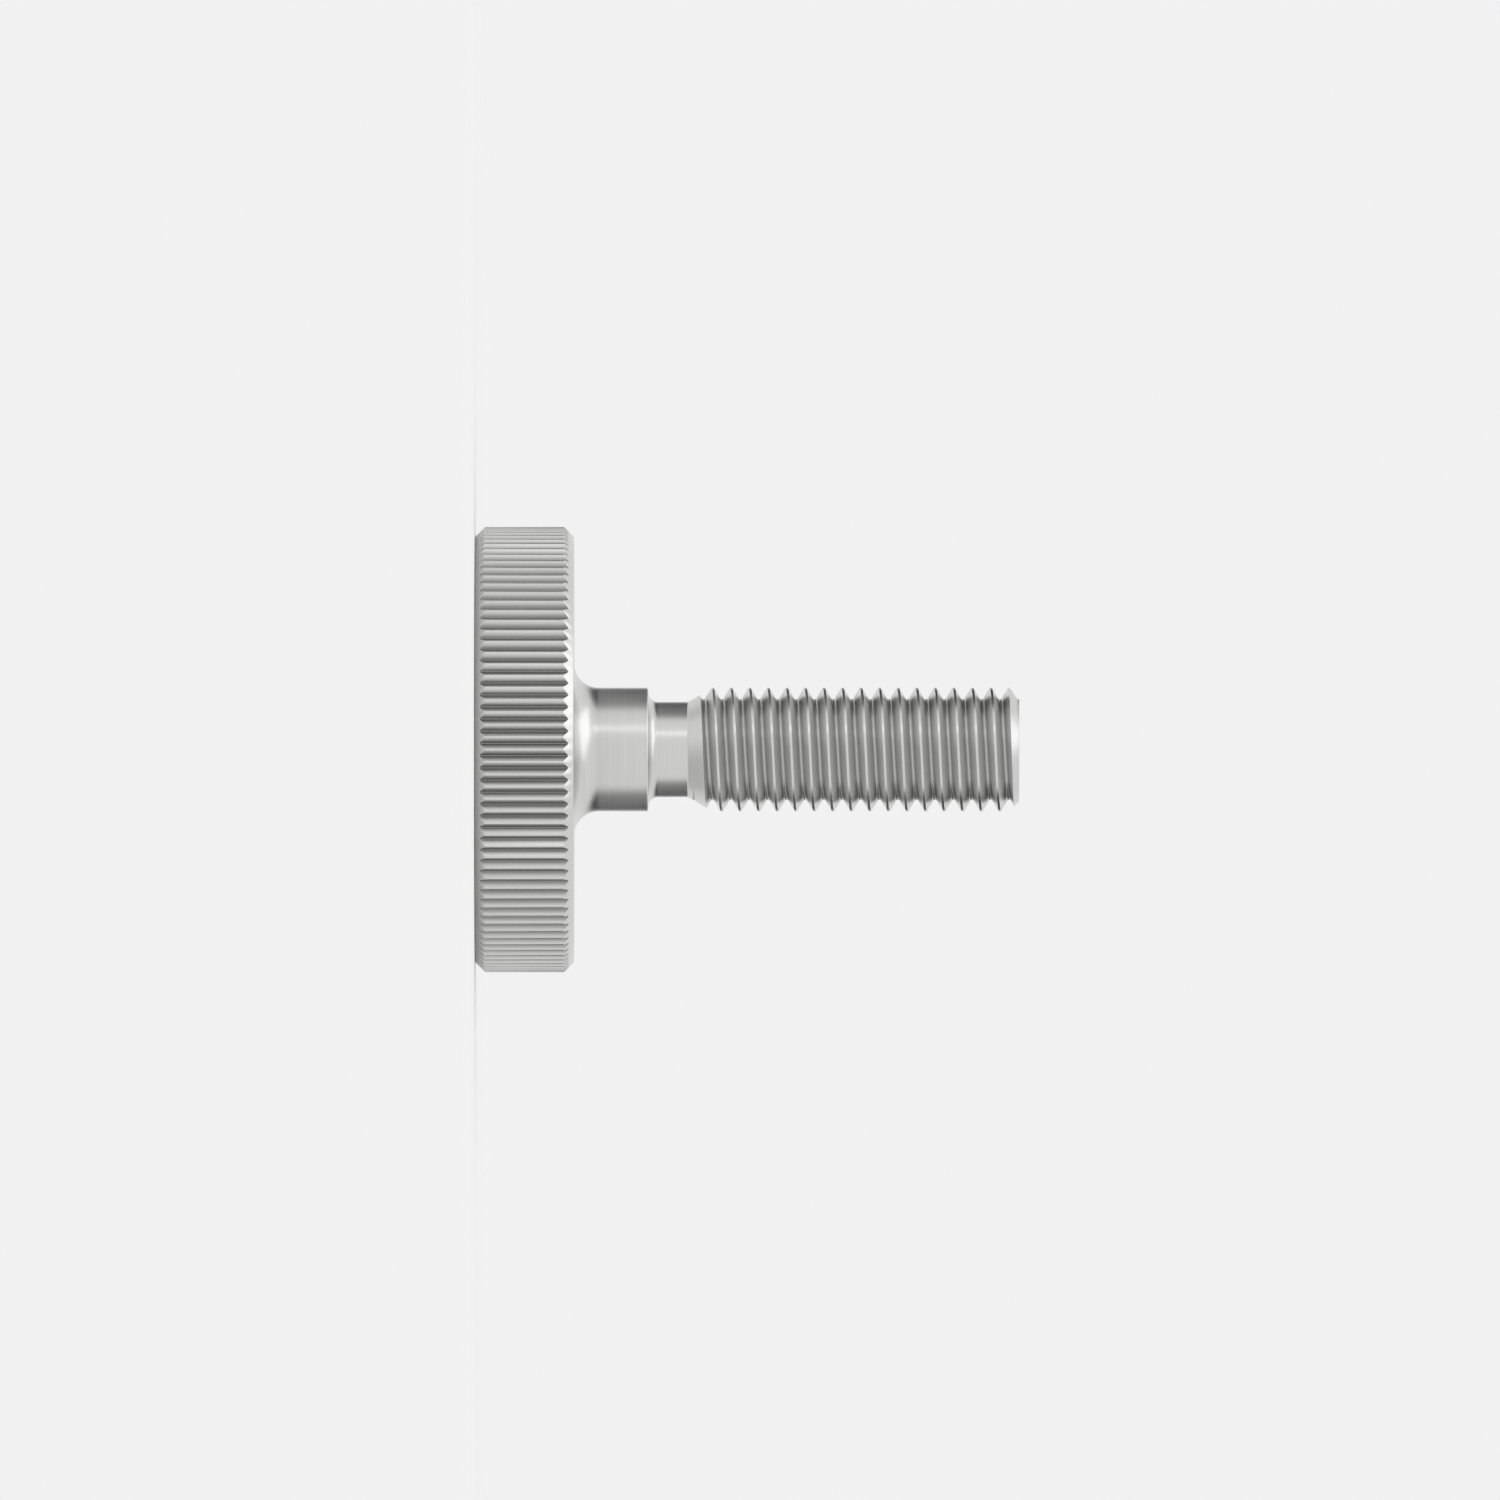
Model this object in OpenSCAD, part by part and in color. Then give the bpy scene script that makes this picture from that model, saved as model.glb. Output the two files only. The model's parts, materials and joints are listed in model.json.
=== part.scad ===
// Knurled thumb screw of the thin form, turned from one piece of round bar.
//
// The screw stands on its head. The origin is the centre of the head's outer
// face, and +Z runs along the shank to the tip. All sizes are in millimetres.

/* [Head] */
// Diameter over the crests of the knurl
head_d = 36; // [24:1:60]
// Thickness of the disc
head_h = 8; // [5:0.5:14]
// Leg of the 45 degree chamfer on both rims of the disc
head_chamfer = 0.8; // [0.6:0.1:1.2]

/* [Knurl] */
// Distance from crest to crest, measured round the rim
knurl_pitch = 1; // [0.8:0.1:1.6]
// Angle between the two flanks of a groove
knurl_angle = 90; // [80:5:100]
// Width of the flat that is left on each crest
knurl_land = 0.15; // [0.05:0.05:0.3]

/* [Neck] */
// Diameter of the plain neck under the disc
neck_d = 10; // [10:0.5:14]
// Length of the neck, from the disc to its shoulder
neck_l = 6; // [4:0.5:12]
// Radius of the fillet between disc and neck
neck_fillet = 2; // [0.5:0.25:3]

/* [Undercut] */
// Depth of the undercut below the thread's major diameter
undercut_depth = 1.15; // [1:0.05:1.3]
// Width of the undercut, from the shoulder to the full thread
undercut_w = 5.2; // [4.5:0.1:7]
// Radius of the corner at the shoulder
undercut_corner = 0.8; // [0.4:0.1:1]
// Slope of the cone that leads up to the thread
undercut_slope = 30; // [25:5:45]

/* [Thread] */
// Major diameter of the thread, which is left as a plain cylinder here
thread_d = 10; // [8:0.5:10]
// Length from the neck's shoulder to the tip
thread_l = 30; // [15:1:60]
// Leg of the 45 degree chamfer at the tip
tip_chamfer = 0.8; // [0.4:0.1:1.2]

/* [Hidden] */

steel = "silver";

shoulder_z = head_h + neck_l;
thread_z = shoulder_z + undercut_w;
tip_z = shoulder_z + thread_l;

head_r = head_d / 2;
neck_r = neck_d / 2;
thread_r = thread_d / 2;
undercut_r = thread_r - undercut_depth;
undercut_cone_l = undercut_depth / tan(undercut_slope);

// Four divides the number of teeth, so a crest stands on each of the axes.
teeth = 4 * round(PI * head_d / knurl_pitch / 4);
half_tooth = 180 / teeth;
half_groove = half_tooth - asin(knurl_land / 2 / head_r);
flank_slope = tan(knurl_angle / 2);
root_r = head_r * (cos(half_groove) - sin(half_groove) / flank_slope);
// Where the flanks of two grooves would meet, a little outside the rim
sharp_crest_r = root_r / cos(half_tooth) / (1 - tan(half_tooth) / flank_slope);
cutter_margin = 1;

$fn = teeth;
fillet_facets = 32;

// Half of the lengthwise section. A straight line cuts across each of the two
// inner corners, and section() hollows it to the arc.
section_outline = [
    [0, 0],
    [head_r - head_chamfer, 0],
    [head_r, head_chamfer],
    [head_r, head_h - head_chamfer],
    [head_r - head_chamfer, head_h],
    [neck_r + neck_fillet, head_h],
    [neck_r, head_h + neck_fillet],
    [neck_r, shoulder_z],
    [undercut_r + undercut_corner, shoulder_z],
    [undercut_r, shoulder_z + undercut_corner],
    [undercut_r, thread_z - undercut_cone_l],
    [thread_r, thread_z],
    [thread_r, tip_z - tip_chamfer],
    [thread_r - tip_chamfer, tip_z],
    [0, tip_z],
];

module section() {
    difference() {
        polygon(section_outline);
        translate([neck_r + neck_fillet, head_h + neck_fillet])
            circle(neck_fillet, $fn = fillet_facets);
        translate([undercut_r + undercut_corner, shoulder_z + undercut_corner])
            circle(undercut_corner, $fn = fillet_facets);
    }
}

// The toothed outline of the rim, with its crests drawn out to sharp points
module sharp_knurl() {
    polygon([
        for (tooth = [0 : teeth - 1], side = [0, 1])
            let (
                angle = (2 * tooth + side) * half_tooth,
                r = side == 0 ? sharp_crest_r : root_r
            )
            r * [cos(angle), sin(angle)]
    ]);
}

// All that lies outside the sharp knurl, over the thickness of the disc. The
// rim's own cylinder leaves the lands, and the grooves run out on its chamfers.
module knurl_cutter() {
    translate([0, 0, -cutter_margin])
        linear_extrude(head_h + 2 * cutter_margin)
            difference() {
                circle(head_r + cutter_margin);
                sharp_knurl();
            }
}

module thumb_screw() {
    color(steel)
        difference() {
            rotate_extrude() section();
            knurl_cutter();
        }
}

thumb_screw();
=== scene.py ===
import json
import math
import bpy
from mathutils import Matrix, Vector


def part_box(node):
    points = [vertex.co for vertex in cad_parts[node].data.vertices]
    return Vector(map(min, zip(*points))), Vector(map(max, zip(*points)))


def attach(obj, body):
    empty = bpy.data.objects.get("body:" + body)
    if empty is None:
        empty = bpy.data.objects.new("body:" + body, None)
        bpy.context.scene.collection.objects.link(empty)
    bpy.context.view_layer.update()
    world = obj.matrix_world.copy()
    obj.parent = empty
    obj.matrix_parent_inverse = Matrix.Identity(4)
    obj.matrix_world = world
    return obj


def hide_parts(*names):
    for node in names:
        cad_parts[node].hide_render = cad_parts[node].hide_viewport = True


bl_info = {
    "name": "Knurled thumb screw",
    "version": (1, 0, 0),
    "blender": (4, 5, 0),
    "location": "View3D > Sidebar > Thumb screw",
    "description": "Makes a turned thumb screw with a knurled head, in a small studio",
    "category": "Add Mesh",
}

import bmesh
import bpy
from mathutils import Matrix, Vector

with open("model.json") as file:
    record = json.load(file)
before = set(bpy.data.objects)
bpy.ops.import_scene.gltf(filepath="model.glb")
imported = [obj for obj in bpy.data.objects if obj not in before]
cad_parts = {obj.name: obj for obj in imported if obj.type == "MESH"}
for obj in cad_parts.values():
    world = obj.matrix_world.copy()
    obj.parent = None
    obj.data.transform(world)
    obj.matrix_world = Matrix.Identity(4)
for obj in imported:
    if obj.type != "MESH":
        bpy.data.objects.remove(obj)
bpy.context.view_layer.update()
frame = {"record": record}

NODE = "thumb_screw"
PIECE = "knurled_thumb_screw"
BODY = "root"
MM = 0.001

BOX_LOW, BOX_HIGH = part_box(NODE)
MOUNTS = {mount["name"]: mount for mount in frame["record"]["mounts"]}
THREAD_MIDDLE = MOUNTS["thread"]["pos_m"][2]
THREAD_HALF = MOUNTS["thread"]["dims"]["length_mm"] * MM / 2
THREAD_RADIUS = MOUNTS["thread"]["dims"]["r_mm"] * MM


# ---------------------------------------------------------------- settings


class ScrewSizes(bpy.types.PropertyGroup):
    """Sizes of the screw, which stands on its head with its axis on Z."""

    head_diameter: bpy.props.FloatProperty(
        name="Head diameter",
        description="Diameter over the crests of the knurl",
        default=BOX_HIGH.x - BOX_LOW.x,
        unit="LENGTH",
    )
    head_height: bpy.props.FloatProperty(
        name="Head height",
        description="Thickness of the disc",
        default=MOUNTS["head_underside"]["pos_m"][2],
        unit="LENGTH",
    )
    head_chamfer: bpy.props.FloatProperty(
        name="Head chamfer",
        description="Leg of the 45 degree chamfer on both rims of the disc",
        default=0.8 * MM,
        unit="LENGTH",
    )
    knurl_pitch: bpy.props.FloatProperty(
        name="Knurl pitch",
        description="Distance from crest to crest, measured round the rim",
        default=1.0 * MM,
        unit="LENGTH",
    )
    knurl_angle: bpy.props.FloatProperty(
        name="Knurl angle",
        description="Angle between the two flanks of a groove",
        default=math.radians(90),
        subtype="ANGLE",
    )
    knurl_land: bpy.props.FloatProperty(
        name="Knurl land",
        description="Width of the flat that is left on each crest",
        default=0.15 * MM,
        unit="LENGTH",
    )
    neck_length: bpy.props.FloatProperty(
        name="Neck length",
        description="Length of the neck, from the disc to its shoulder",
        default=6.0 * MM,
        unit="LENGTH",
    )
    neck_fillet: bpy.props.FloatProperty(
        name="Neck fillet",
        description="Radius of the fillet between disc and neck",
        default=2.0 * MM,
        unit="LENGTH",
    )
    undercut_depth: bpy.props.FloatProperty(
        name="Undercut depth",
        description="Depth of the undercut below the thread's major diameter",
        default=1.15 * MM,
        unit="LENGTH",
    )
    undercut_corner: bpy.props.FloatProperty(
        name="Undercut corner",
        description="Radius of the corner at the shoulder",
        default=0.8 * MM,
        unit="LENGTH",
    )
    undercut_slope: bpy.props.FloatProperty(
        name="Undercut slope",
        description="Slope of the cone that leads up to the thread",
        default=math.radians(30),
        subtype="ANGLE",
    )
    thread_diameter: bpy.props.FloatProperty(
        name="Thread diameter",
        description="Major diameter of the thread",
        default=2 * THREAD_RADIUS,
        unit="LENGTH",
    )
    thread_pitch: bpy.props.FloatProperty(
        name="Thread pitch",
        description="Distance from one turn of the thread to the next",
        default=1.5 * MM,
        unit="LENGTH",
    )
    thread_start: bpy.props.FloatProperty(
        name="Thread start",
        description="Height at which the undercut's cone reaches the full thread",
        default=THREAD_MIDDLE - THREAD_HALF,
        unit="LENGTH",
    )
    thread_end: bpy.props.FloatProperty(
        name="Thread end",
        description="Height at which the tip's chamfer begins",
        default=THREAD_MIDDLE + THREAD_HALF,
        unit="LENGTH",
    )
    length: bpy.props.FloatProperty(
        name="Length",
        description="Length of the whole screw, from the head's face to the tip",
        default=BOX_HIGH.z,
        unit="LENGTH",
    )


class SteelFinish(bpy.types.PropertyGroup):
    """Colours and tool marks of the steel, and the painted shade in the roots of knurl and thread."""

    steel: bpy.props.StringProperty(
        name="Steel",
        description="Colour of the clean metal, as an sRGB hex value",
        default="D8D8D7",
    )
    # Painted shade: the knurl's grooves darken to this colour at their roots
    knurl_root_shade: bpy.props.StringProperty(
        name="Knurl root",
        description="Colour at the bottom of the knurl, as an sRGB hex value",
        default="8F8F8D",
    )
    # Painted shade: the thread's roots darken a little to this colour
    thread_root_shade: bpy.props.StringProperty(
        name="Thread root",
        description="Colour at the bottom of the thread, as an sRGB hex value",
        default="BABAB8",
    )
    feed: bpy.props.FloatProperty(
        name="Feed",
        description="Distance from one tool mark to the next",
        default=0.3 * MM,
        unit="LENGTH",
    )
    mark_depth: bpy.props.FloatProperty(
        name="Mark depth",
        description="Depth of the tool marks",
        default=0.008 * MM,
        unit="LENGTH",
    )


class StageSettings(bpy.types.PropertyGroup):
    """Room, floor, cards and camera."""

    room: bpy.props.StringProperty(
        name="Room",
        description="Colour of the room all round the screw, as an sRGB hex value",
        default="F1F1F1",
    )
    floor: bpy.props.StringProperty(
        name="Floor",
        description="Colour of the floor, as an sRGB hex value",
        default="F2F2F2",
    )
    floor_radius: bpy.props.FloatProperty(
        name="Floor radius",
        description="Radius of the floor, which fades out towards its edge",
        default=280 * MM,
        unit="LENGTH",
    )
    card: bpy.props.StringProperty(
        name="Cards",
        description="Colour of the dark cards that the steel's edges show, as an sRGB hex value",
        default="303032",
    )
    lens: bpy.props.FloatProperty(
        name="Lens",
        description="Focal length, so long that the outline shows next to no perspective",
        default=1500.0,
        unit="CAMERA",
    )
    frame_width: bpy.props.FloatProperty(
        name="Frame width",
        description="Width of the camera's frame at the screw's axis",
        default=121.35 * MM,
        unit="LENGTH",
    )
    frame_middle: bpy.props.FloatVectorProperty(
        name="Frame middle",
        description="Point that the camera looks at",
        default=(0.04 * MM, 0.0, 22.23 * MM),
        subtype="TRANSLATION",
    )


# ---------------------------------------------------------------- outlines

# Arcs are cut into steps that leave the true curve by no more than ARC_ERROR, and
# that turn by no more than ARC_STEP.
ARC_ERROR = 0.002 * MM
ARC_STEP = math.radians(24)

# Small radii that the tools leave: on turned edges, on the crests and in the
# roots of the knurl, and in the undercut's second corner.
EDGE_BREAK = 0.1 * MM
CREST_ROUND = 0.05 * MM
ROOT_ROUND = 0.08 * MM
TOOL_NOSE = 0.3 * MM

# Width of the flat ring that joins the rim's many columns to the few inside
RIM_RING = 0.6 * MM


def rounded(corners):
    """The path through corners, each a point and a radius, with arcs in place of them."""
    path = []
    for i, (point, radius) in enumerate(corners):
        if radius == 0:
            path.append(point)
            continue
        into = (point - corners[i - 1][0]).normalized()
        out = (corners[i + 1][0] - point).normalized()
        clockwise = into.angle_signed(out)
        start = point - into * radius * math.tan(abs(clockwise) / 2)
        side = Vector((into.y, -into.x)) * math.copysign(1, clockwise)
        centre = start + side * radius
        step = min(ARC_STEP, 2 * math.acos(1 - ARC_ERROR / radius))
        steps = math.ceil(abs(clockwise) / step)
        for k in range(steps + 1):
            spin = Matrix.Rotation(-clockwise * k / steps, 2)
            path.append(centre + spin @ (start - centre))
    return path


def polar(radius, angle):
    return Vector((radius * math.cos(angle), radius * math.sin(angle)))


def tooth_count(sizes):
    """Four divides it, so a crest stands on each axis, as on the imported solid."""
    return 4 * round(math.pi * sizes.head_diameter / sizes.knurl_pitch / 4)


def knurl_columns(sizes):
    """Angle and radius of each column of the rim, once round the knurl."""
    crest_r = sizes.head_diameter / 2
    teeth = tooth_count(sizes)
    pitch_angle = 2 * math.pi / teeth
    land_angle = math.asin(sizes.knurl_land / 2 / crest_r)
    half_groove = pitch_angle / 2 - land_angle
    flank_slope = math.tan(sizes.knurl_angle / 2)
    root_r = crest_r * (math.cos(half_groove) - math.sin(half_groove) / flank_slope)
    tooth = rounded(
        [
            (polar(crest_r, 0), 0),
            (polar(crest_r, land_angle), CREST_ROUND),
            (polar(root_r, pitch_angle / 2), ROOT_ROUND),
            (polar(crest_r, pitch_angle - land_angle), CREST_ROUND),
            (polar(crest_r, pitch_angle), 0),
        ]
    )
    tooth.pop()
    return [
        (math.atan2(point.y, point.x) + pitch_angle * i, point.length)
        for i in range(teeth)
        for point in tooth
    ]


def inner_radius(sizes):
    """Where the flat ring inside the rim ends, on the face and on the underside."""
    return sizes.head_diameter / 2 - sizes.head_chamfer - 2 * RIM_RING


def rim_path(sizes, radius):
    """Section of the rim from the outer face to the underside, where the knurl has this radius."""
    chamfer_r = sizes.head_diameter / 2 - sizes.head_chamfer
    rise = radius - chamfer_r
    top = sizes.head_height
    return rounded(
        [
            (Vector((chamfer_r - RIM_RING, 0)), 0),
            (Vector((chamfer_r, 0)), EDGE_BREAK),
            (Vector((radius, rise)), CREST_ROUND),
            (Vector((radius, top - rise)), CREST_ROUND),
            (Vector((chamfer_r, top)), EDGE_BREAK),
            (Vector((chamfer_r - RIM_RING, top)), 0),
        ]
    )


def shank_path(sizes):
    """Section from the underside along neck, undercut and thread blank to the tip's centre."""
    blank_r = sizes.thread_diameter / 2
    floor_r = blank_r - sizes.undercut_depth
    shoulder = sizes.head_height + sizes.neck_length
    cone_length = sizes.undercut_depth / math.tan(sizes.undercut_slope)
    face_r = blank_r - (sizes.length - sizes.thread_end)
    return rounded(
        [
            (Vector((inner_radius(sizes), sizes.head_height)), 0),
            (Vector((blank_r, sizes.head_height)), sizes.neck_fillet),
            (Vector((blank_r, shoulder)), EDGE_BREAK),
            (Vector((floor_r, shoulder)), sizes.undercut_corner),
            (Vector((floor_r, sizes.thread_start - cone_length)), TOOL_NOSE),
            (Vector((blank_r, sizes.thread_start)), EDGE_BREAK),
            (Vector((blank_r, sizes.thread_end)), EDGE_BREAK),
            (Vector((face_r, sizes.length)), EDGE_BREAK),
            (Vector((0, sizes.length)), 0),
        ]
    )


# The standard metric thread: flanks at 30 degrees to each side, and a flat of
# an eighth of the pitch on the crest. The root's radius gives the full depth.
FLANK_ANGLE = math.radians(30)
CREST_SHARE = 1 / 8
ROOT_SHARE = math.sqrt(3) / 12


def groove_section(sizes, clearance):
    """Section of the thread's groove as radius and height, drawn out past the crests by clearance."""
    crest_r = sizes.thread_diameter / 2
    half_width = (1 - CREST_SHARE) * sizes.thread_pitch / 2
    apex_r = crest_r - half_width / math.tan(FLANK_ANGLE)
    outer_r = crest_r + clearance
    outer_half = half_width + clearance * math.tan(FLANK_ANGLE)
    return rounded(
        [
            (Vector((outer_r, -outer_half)), 0),
            (Vector((apex_r, 0)), ROOT_SHARE * sizes.thread_pitch),
            (Vector((outer_r, outer_half)), 0),
        ]
    )


# ---------------------------------------------------------------- meshes

TURNED, KNURLED, THREADED = range(3)


class Skin:
    """Points and faces of one closed skin, with the finish that each face has."""

    def __init__(self):
        self.points = []
        self.faces = []
        self.finishes = []

    def ring(self, places):
        """Adds a closed ring of points and returns their numbers."""
        first = len(self.points)
        self.points.extend(places)
        return list(range(first, len(self.points)))

    def face(self, corners, finish):
        self.faces.append(corners)
        self.finishes.append(finish)

    def wall(self, low, high, finish):
        """Joins two rings. high may have several times fewer points than low, or one."""
        many = len(low) // len(high) if len(high) > 1 else 1
        count = len(low) // many
        for i in range(count):
            span = [low[(i * many + k) % len(low)] for k in range(many + 1)]
            if len(high) == 1:
                self.face([*span, high[0]], finish)
            else:
                self.face([*span, high[(i + 1) % count], high[i]], finish)

    def mesh(self, name, materials):
        made = bpy.data.meshes.new(name)
        made.from_pydata(self.points, [], self.faces)
        for material in materials:
            made.materials.append(material)
        made.polygons.foreach_set("material_index", self.finishes)
        made.validate()
        return made


def turned_round(place, columns):
    """The ring that a point of the section draws when it is turned about the axis."""
    return [
        (place.x * math.cos(angle), place.x * math.sin(angle), place.y)
        for angle in columns
    ]


def screw_skin(sizes):
    """The whole screw before its thread is cut."""
    skin = Skin()
    rim = knurl_columns(sizes)
    teeth = tooth_count(sizes)
    columns = [2 * math.pi * i / teeth for i in range(teeth)]

    sections = [(angle, rim_path(sizes, radius)) for angle, radius in rim]
    rows = [
        skin.ring(
            [
                (path[row].x * math.cos(angle), path[row].x * math.sin(angle), path[row].y)
                for angle, path in sections
            ]
        )
        for row in range(len(sections[0][1]))
    ]
    knurled_wall = len(rows) // 2 - 1
    for i, (low, high) in enumerate(zip(rows, rows[1:])):
        skin.wall(low, high, KNURLED if i == knurled_wall else TURNED)

    middle = skin.ring([(0, 0, 0)])
    face_ring = skin.ring(turned_round(Vector((inner_radius(sizes), 0)), columns))
    skin.wall(rows[0], face_ring, TURNED)
    skin.wall(face_ring, middle, TURNED)

    shank = [skin.ring(turned_round(place, columns)) for place in shank_path(sizes)[:-1]]
    skin.wall(rows[-1], shank[0], TURNED)
    for low, high in zip(shank, shank[1:]):
        skin.wall(low, high, TURNED)
    skin.wall(shank[-1], skin.ring([(0, 0, sizes.length)]), TURNED)
    return skin


def groove_cutter(sizes):
    """The thread's groove as a solid, wound along its right-hand helix, from where it is clear of
    the undercut's floor to past the tip."""
    skin = Skin()
    section = groove_section(sizes, clearance=0.1 * MM)
    pitch = sizes.thread_pitch
    steps_per_turn = tooth_count(sizes)
    start = sizes.thread_start - 2 * pitch
    turns = (sizes.length + pitch - start) / pitch
    loops = []
    for step in range(math.ceil(turns * steps_per_turn) + 1):
        # Half a step off the blank's own columns, so that no two edges lie on each other
        turn = (step + 0.5) / steps_per_turn
        angle = 2 * math.pi * turn
        height = start + pitch * turn
        loops.append(
            skin.ring(
                [
                    (p.x * math.cos(angle), p.x * math.sin(angle), p.y + height)
                    for p in section
                ]
            )
        )
    for low, high in zip(loops, loops[1:]):
        skin.wall(low, high, THREADED)
    skin.face(loops[0], THREADED)
    skin.face(loops[-1], THREADED)
    return skin


def outward(mesh):
    """Turns every face of a closed mesh outwards."""
    work = bmesh.new()
    work.from_mesh(mesh)
    bmesh.ops.recalc_face_normals(work, faces=work.faces)
    work.to_mesh(mesh)
    work.free()


def link(name, data):
    made = bpy.data.objects.new(name, data)
    bpy.context.scene.collection.objects.link(made)
    return made


def applied(piece):
    """Gives the piece the mesh that its modifiers make, and takes them off."""
    graph = bpy.context.evaluated_depsgraph_get()
    made = bpy.data.meshes.new_from_object(
        piece.evaluated_get(graph), preserve_all_data_layers=True, depsgraph=graph
    )
    piece.modifiers.clear()
    before = piece.data
    piece.data = made
    made.name = before.name
    bpy.data.meshes.remove(before)


def check_closed(mesh):
    """Raises an error unless the mesh is a skin in which every edge joins two faces."""
    work = bmesh.new()
    work.from_mesh(mesh)
    gaps = sum(not edge.is_manifold for edge in work.edges)
    work.free()
    if gaps or not mesh.polygons:
        raise RuntimeError(f"{mesh.name} isn't closed: {gaps} edges don't join two faces")


def cut_thread(piece, sizes):
    """Cuts the helical groove into the blank. The faces that it leaves keep the thread's finish."""
    mesh = groove_cutter(sizes).mesh("groove", piece.data.materials)
    outward(mesh)
    cutter = link("groove", mesh)
    cut = piece.modifiers.new("thread", "BOOLEAN")
    cut.operation = "DIFFERENCE"
    cut.solver = "MANIFOLD"
    cut.material_mode = "INDEX"
    cut.object = cutter
    applied(piece)
    bpy.data.objects.remove(cutter)
    bpy.data.meshes.remove(mesh)
    check_closed(piece.data)


SHARP_TURN = math.radians(30)


def shade(piece):
    """Smooth shading, which stays sharp where two finishes meet or the surface turns."""
    mesh = piece.data
    mesh.shade_smooth()
    mesh.set_sharp_from_angle(angle=SHARP_TURN)
    work = bmesh.new()
    work.from_mesh(mesh)
    for edge in work.edges:
        if len({face.material_index for face in edge.link_faces}) > 1:
            edge.smooth = False
    work.to_mesh(mesh)
    work.free()
    even = piece.modifiers.new("normals", "WEIGHTED_NORMAL")
    even.mode = "FACE_AREA_WITH_ANGLE"
    even.keep_sharp = True
    applied(piece)


# ---------------------------------------------------------------- materials


def linear(colour):
    """An sRGB hex value as linear red, green, blue and alpha."""
    shares = [int(colour[i : i + 2], 16) / 255 for i in (0, 2, 4)]
    return (*[s / 12.92 if s <= 0.04045 else ((s + 0.055) / 1.055) ** 2.4 for s in shares], 1)


# Sockets of a Mix node that mixes colours, whose names its other kinds share
MIX_SHARE, MIX_FIRST, MIX_SECOND = 0, 6, 7
MIX_COLOUR = 2


def add_node(tree, kind, inputs=(), **settings):
    """Adds a node with its own settings. inputs pairs each socket with its value, or with the
    output that feeds it."""
    made = tree.nodes.new(kind)
    for name, value in settings.items():
        setattr(made, name, value)
    for socket, value in dict(inputs).items():
        if isinstance(value, bpy.types.NodeSocket):
            tree.links.new(value, made.inputs[socket])
        else:
            made.inputs[socket].default_value = value
    return made


def new_material(name):
    made = bpy.data.materials.new(name)
    made.use_nodes = True
    made.node_tree.nodes.clear()
    return made, made.node_tree


def axis_coordinates(tree):
    """Outputs for a place on a piece: itself, its X, Y and Z, and its distance from the Z axis."""
    place = add_node(tree, "ShaderNodeTexCoord").outputs["Object"]
    parts = add_node(tree, "ShaderNodeSeparateXYZ", {"Vector": place}).outputs
    flat = add_node(tree, "ShaderNodeCombineXYZ", {"X": parts["X"], "Y": parts["Y"]})
    distance = add_node(
        tree, "ShaderNodeVectorMath", {0: flat.outputs["Vector"]}, operation="LENGTH"
    )
    return place, parts, distance.outputs["Value"]


def height_in_groove(tree, parts, sizes):
    """Output for the height above the middle of the thread's groove, which rises with the helix.
    It jumps to the next turn in the middle of the crest, where nothing shows it."""
    angle = add_node(
        tree, "ShaderNodeMath", {0: parts["Y"], 1: parts["X"]}, operation="ARCTAN2"
    )
    middle = add_node(
        tree,
        "ShaderNodeMath",
        {
            0: angle.outputs["Value"],
            1: sizes.thread_pitch / (2 * math.pi),
            2: sizes.thread_start,
        },
        operation="MULTIPLY_ADD",
    )
    above = add_node(
        tree, "ShaderNodeMath", {0: parts["Z"], 1: middle.outputs["Value"]}, operation="SUBTRACT"
    )
    return add_node(
        tree,
        "ShaderNodeMath",
        {
            0: above.outputs["Value"],
            1: sizes.thread_pitch / 2,
            2: -sizes.thread_pitch / 2,
        },
        operation="WRAP",
    ).outputs["Value"]


# Depths below the crests at which the roots' painted shade is whole, and at which it is gone
KNURL_SHADE = (0.4 * MM, 0.0)
THREAD_SHADE = (0.9 * MM, 0.2 * MM)


def painted_root_shade(tree, finish, root, distance, crest_r, shade):
    """Output for painted shade: a colour that goes from the steel's own to the root's shade with the
    depth below a crest.
    """
    rise = add_node(
        tree,
        "ShaderNodeMapRange",
        {"Value": distance, "From Min": crest_r - shade[0], "From Max": crest_r - shade[1]},
        interpolation_type="SMOOTHSTEP",
    )
    return add_node(
        tree,
        "ShaderNodeMix",
        {
            MIX_SHARE: rise.outputs["Result"],
            MIX_FIRST: linear(root),
            MIX_SECOND: linear(finish.steel),
        },
        data_type="RGBA",
    ).outputs[MIX_COLOUR]


# Brightness of the steel along the tool marks, from the darkest to the lightest
MARK_TONES = (0.88, 1.08)

# Distance between the slow changes in how sharply the steel shines
CLOUD_SIZE = 6 * MM

# Anisotropy, and its turn from the way round the axis. Marks that run round the
# axis draw a highlight out along the section. The knurl's lines are too faint to.
MARKS_ROUND = (0.4, 0.25)
MARKS_ALONG = (0.0, 0.0)


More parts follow.
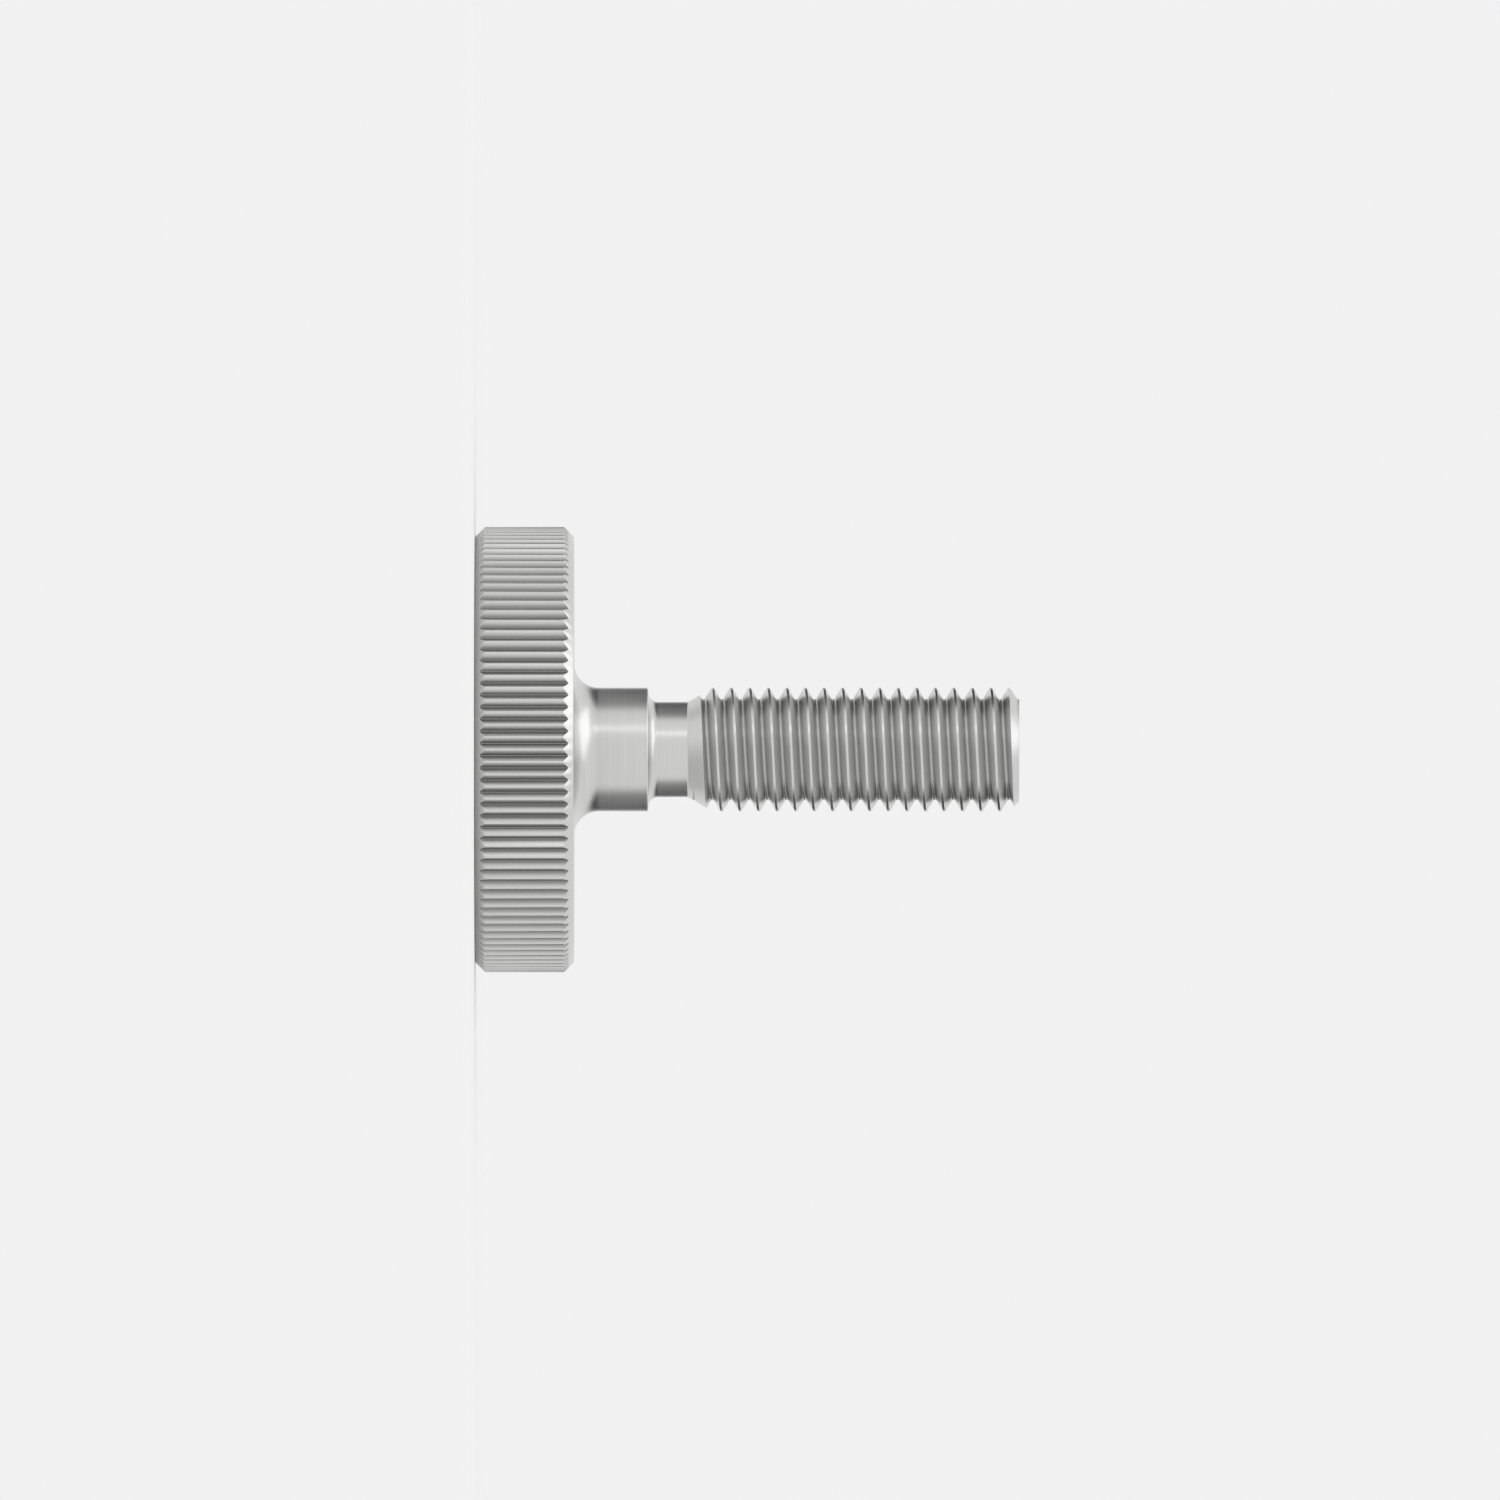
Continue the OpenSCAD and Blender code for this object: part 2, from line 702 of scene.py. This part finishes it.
def add_steel(tree, finish, place, across, colour, roughness, grain):
    """Steel with fine tool marks. across is a vector that changes only across the marks, roughness
    is the least and the most of it, and grain the anisotropy and its turn."""
    marks = add_node(
        tree,
        "ShaderNodeTexNoise",
        {"Vector": across, "Scale": 1 / finish.feed, "Detail": 3.0, "Roughness": 0.6},
    ).outputs["Fac"]
    bump = add_node(
        tree, "ShaderNodeBump", {"Height": marks, "Distance": finish.mark_depth}
    )
    tone = add_node(
        tree,
        "ShaderNodeMapRange",
        {"Value": marks, "To Min": MARK_TONES[0], "To Max": MARK_TONES[1]},
    )
    marked = add_node(
        tree,
        "ShaderNodeVectorMath",
        {0: colour, "Scale": tone.outputs["Result"]},
        operation="SCALE",
    )
    clouds = add_node(
        tree, "ShaderNodeTexNoise", {"Vector": place, "Scale": 1 / CLOUD_SIZE, "Detail": 3.0}
    )
    spread = add_node(
        tree,
        "ShaderNodeMapRange",
        {"Value": clouds.outputs["Fac"], "To Min": roughness[0], "To Max": roughness[1]},
    )
    round_axis = add_node(tree, "ShaderNodeTangent", direction_type="RADIAL", axis="Z")
    steel = add_node(
        tree,
        "ShaderNodeBsdfPrincipled",
        {
            "Base Color": marked.outputs["Vector"],
            "Metallic": 1.0,
            "Roughness": spread.outputs["Result"],
            "Anisotropic": grain[0],
            "Anisotropic Rotation": grain[1],
            "Normal": bump.outputs["Normal"],
            "Tangent": round_axis.outputs["Tangent"],
        },
    )
    add_node(tree, "ShaderNodeOutputMaterial", {"Surface": steel.outputs["BSDF"]})


def turned_steel(finish):
    """Stainless steel, bright turned. The tool leaves fine rings round the axis, which draw each
    highlight out along the section. A real feed of 0.1 mm wouldn't show, so it is drawn coarser."""
    made, tree = new_material("stainless_steel_bright_turned")
    place, parts, distance = axis_coordinates(tree)
    rings = add_node(tree, "ShaderNodeCombineXYZ", {"X": distance, "Y": parts["Z"]})
    add_steel(
        tree,
        finish,
        place,
        across=rings.outputs["Vector"],
        colour=linear(finish.steel)[:3],
        roughness=(0.26, 0.34),
        grain=MARKS_ROUND,
    )
    return made


def knurled_steel(finish, sizes):
    """The same steel, pressed into teeth by a straight knurling wheel. It leaves faint lines along
    the axis, and its grooves carry painted shade that deepens down to their roots, while the crests
    keep the steel's own colour."""
    made, tree = new_material("stainless_steel_straight_knurled")
    place, parts, distance = axis_coordinates(tree)
    lines = add_node(tree, "ShaderNodeCombineXYZ", {"X": parts["X"], "Y": parts["Y"]})
    crest_r = sizes.head_diameter / 2
    add_steel(
        tree,
        finish,
        place,
        across=lines.outputs["Vector"],
        # Painted shade in the grooves, darkest at the roots
        colour=painted_root_shade(tree, finish, finish.knurl_root_shade, distance, crest_r, KNURL_SHADE),
        roughness=(0.2, 0.3),
        grain=MARKS_ALONG,
    )
    return made


def threaded_steel(finish, sizes):
    """The same steel, with a cut thread. Fine marks wind along the flanks with the helix, and the
    roots carry a little painted shade, so they are darker than the crests."""
    made, tree = new_material("stainless_steel_cut_thread")
    place, parts, distance = axis_coordinates(tree)
    height = height_in_groove(tree, parts, sizes)
    windings = add_node(tree, "ShaderNodeCombineXYZ", {"X": distance, "Y": height})
    crest_r = sizes.thread_diameter / 2
    add_steel(
        tree,
        finish,
        place,
        across=windings.outputs["Vector"],
        # A little painted shade in the roots
        colour=painted_root_shade(tree, finish, finish.thread_root_shade, distance, crest_r, THREAD_SHADE),
        roughness=(0.26, 0.34),
        grain=MARKS_ROUND,
    )
    return made


# ---------------------------------------------------------------- operators


class THUMBSCREW_OT_add_screw(bpy.types.Operator):
    """Make the screw: head, neck and shank in one piece, with the knurl and the thread"""

    bl_idname = "thumbscrew.add_screw"
    bl_label = "Add thumb screw"

    def execute(self, context):
        sizes = context.scene.screw_sizes
        finish = context.scene.steel_finish
        materials = [
            turned_steel(finish),
            knurled_steel(finish, sizes),
            threaded_steel(finish, sizes),
        ]
        mesh = screw_skin(sizes).mesh(PIECE, materials)
        outward(mesh)
        piece = link(PIECE, mesh)
        cut_thread(piece, sizes)
        shade(piece)
        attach(piece, BODY)
        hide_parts(NODE)
        return {"FINISHED"}


# Flat sides that stand for a board's round edge, and the share of its radius at which
# it is gone, so that they don't show
BOARD_SIDES = 96
FADE_TO = 0.98

# The floor lies a little below the screw, so that the two faces stay apart.
FLOOR_GAP = 0.02 * MM

# The cards are wide ovals: half the width, and the height as a share of the width
CARD_RADIUS = 4.6
CARD_OVAL = 0.45

# Distance of the lamps and the cards from the screw
STAND_OFF = 4.0


def board_material(name, colour, radius, whole):
    """Matt board, which fades out from a share of its radius to its edge. The white one passes
    into the room, and the black ones give the bright steel dark edges that end softly."""
    made, tree = new_material(name)
    _, _, distance = axis_coordinates(tree)
    fade = add_node(
        tree,
        "ShaderNodeMapRange",
        {"Value": distance, "From Min": radius * whole, "From Max": radius * FADE_TO},
        interpolation_type="SMOOTHSTEP",
    )
    board = add_node(tree, "ShaderNodeBsdfDiffuse", {"Color": linear(colour)})
    clear = add_node(tree, "ShaderNodeBsdfTransparent")
    mixed = add_node(
        tree,
        "ShaderNodeMixShader",
        {0: fade.outputs["Result"], 1: board.outputs["BSDF"], 2: clear.outputs["BSDF"]},
    )
    add_node(tree, "ShaderNodeOutputMaterial", {"Surface": mixed.outputs["Shader"]})
    return made


def room_world(settings):
    """An even, pale room, which lights the screw from all round and is the background."""
    made = bpy.data.worlds.new("pale_room")
    made.use_nodes = True
    tree = made.node_tree
    tree.nodes.clear()
    light = add_node(tree, "ShaderNodeBackground", {"Color": linear(settings.room)})
    add_node(tree, "ShaderNodeOutputWorld", {"Surface": light.outputs["Background"]})
    return made


def add_board(name, radius, material):
    """A round board that lies flat, with its middle at the origin."""
    mesh = bpy.data.meshes.new(name)
    columns = [2 * math.pi * i / BOARD_SIDES for i in range(BOARD_SIDES)]
    mesh.from_pydata(turned_round(Vector((radius, 0)), columns), [], [range(BOARD_SIDES)])
    mesh.materials.append(material)
    made = link(name, mesh)
    return made


def softbox(name, width, height, radiance):
    """A rectangular lamp. A radiance of 1 renders as white."""
    lamp = bpy.data.lights.new(name, "AREA")
    lamp.shape = "RECTANGLE"
    lamp.size = width
    lamp.size_y = height
    lamp.energy = radiance * math.pi * width * height
    return link(name, lamp)


def set_up(made, azimuth, elevation):
    """Stands a lamp or a card round the screw, turned to it. Azimuth 0 is on the camera's side.
    The steel shows it, and the camera doesn't see it."""
    made.visible_camera = False
    turn = math.radians(azimuth)
    rise = math.radians(elevation)
    back = Vector(
        (
            math.sin(turn) * math.cos(rise),
            -math.cos(turn) * math.cos(rise),
            math.sin(rise),
        )
    )
    made.location = Vector((0, 0, BOX_HIGH.z / 2)) + back * STAND_OFF
    made.rotation_euler = back.to_track_quat("Z", "Y").to_euler()


def add_camera(settings):
    """Looks straight at the side of the screw, which lies across the frame with its head on the
    left."""
    camera = bpy.data.cameras.new("camera")
    camera.lens = settings.lens
    distance = settings.frame_width / camera.sensor_width * camera.lens
    camera.clip_end = 2 * distance
    eye = link("camera", camera)
    right = Vector((0, 0, 1))
    up = Vector((-1, 0, 0))
    back = right.cross(up)
    turned = Matrix((right, up, back)).transposed()
    place = Vector(settings.frame_middle) + back * distance
    eye.matrix_world = Matrix.LocRotScale(place, turned, None)
    bpy.context.scene.camera = eye


class THUMBSCREW_OT_add_stage(bpy.types.Operator):
    """Make the room, the floor, the lamps, the cards and the camera"""

    bl_idname = "thumbscrew.add_stage"
    bl_label = "Add stage"

    def execute(self, context):
        settings = context.scene.stage_settings
        context.scene.world = room_world(settings)
        context.scene.view_settings.view_transform = "Standard"
        add_camera(settings)

        radius = settings.floor_radius
        white = board_material("white_board_matt", settings.floor, radius, whole=0.3)
        floor = add_board("floor", radius, white)
        floor.location.z = -FLOOR_GAP

        key = softbox("key_light", width=0.7, height=2.4, radiance=0.7)
        set_up(key, azimuth=-40, elevation=8)
        top = softbox("top_light", width=4.0, height=4.0, radiance=0.65)
        set_up(top, azimuth=-60, elevation=65)

        black = board_material("black_card_matt", settings.card, CARD_RADIUS, whole=0.4)
        for side, name in ((-1, "left_card"), (1, "right_card")):
            card = add_board(name, CARD_RADIUS, black)
            card.scale.y = CARD_OVAL
            set_up(card, azimuth=side * 120, elevation=0)
        return {"FINISHED"}


class THUMBSCREW_PT_parts(bpy.types.Panel):
    """Lists the pieces that can be made"""

    bl_idname = "THUMBSCREW_PT_parts"
    bl_label = "Thumb screw"
    bl_space_type = "VIEW_3D"
    bl_region_type = "UI"
    bl_category = "Thumb screw"

    def draw(self, context):
        for maker in OPERATORS:
            self.layout.operator(maker.bl_idname)


GROUPS = {
    "screw_sizes": ScrewSizes,
    "steel_finish": SteelFinish,
    "stage_settings": StageSettings,
}
OPERATORS = (THUMBSCREW_OT_add_screw, THUMBSCREW_OT_add_stage)
CLASSES = (*GROUPS.values(), *OPERATORS, THUMBSCREW_PT_parts)


def register():
    for cls in CLASSES:
        bpy.utils.register_class(cls)
    for name, group in GROUPS.items():
        setattr(bpy.types.Scene, name, bpy.props.PointerProperty(type=group))


def unregister():
    for name in GROUPS:
        delattr(bpy.types.Scene, name)
    for cls in reversed(CLASSES):
        bpy.utils.unregister_class(cls)


def main():
    register()
    bpy.ops.thumbscrew.add_screw()
    bpy.ops.thumbscrew.add_stage()


if __name__ == "__main__":
    main()
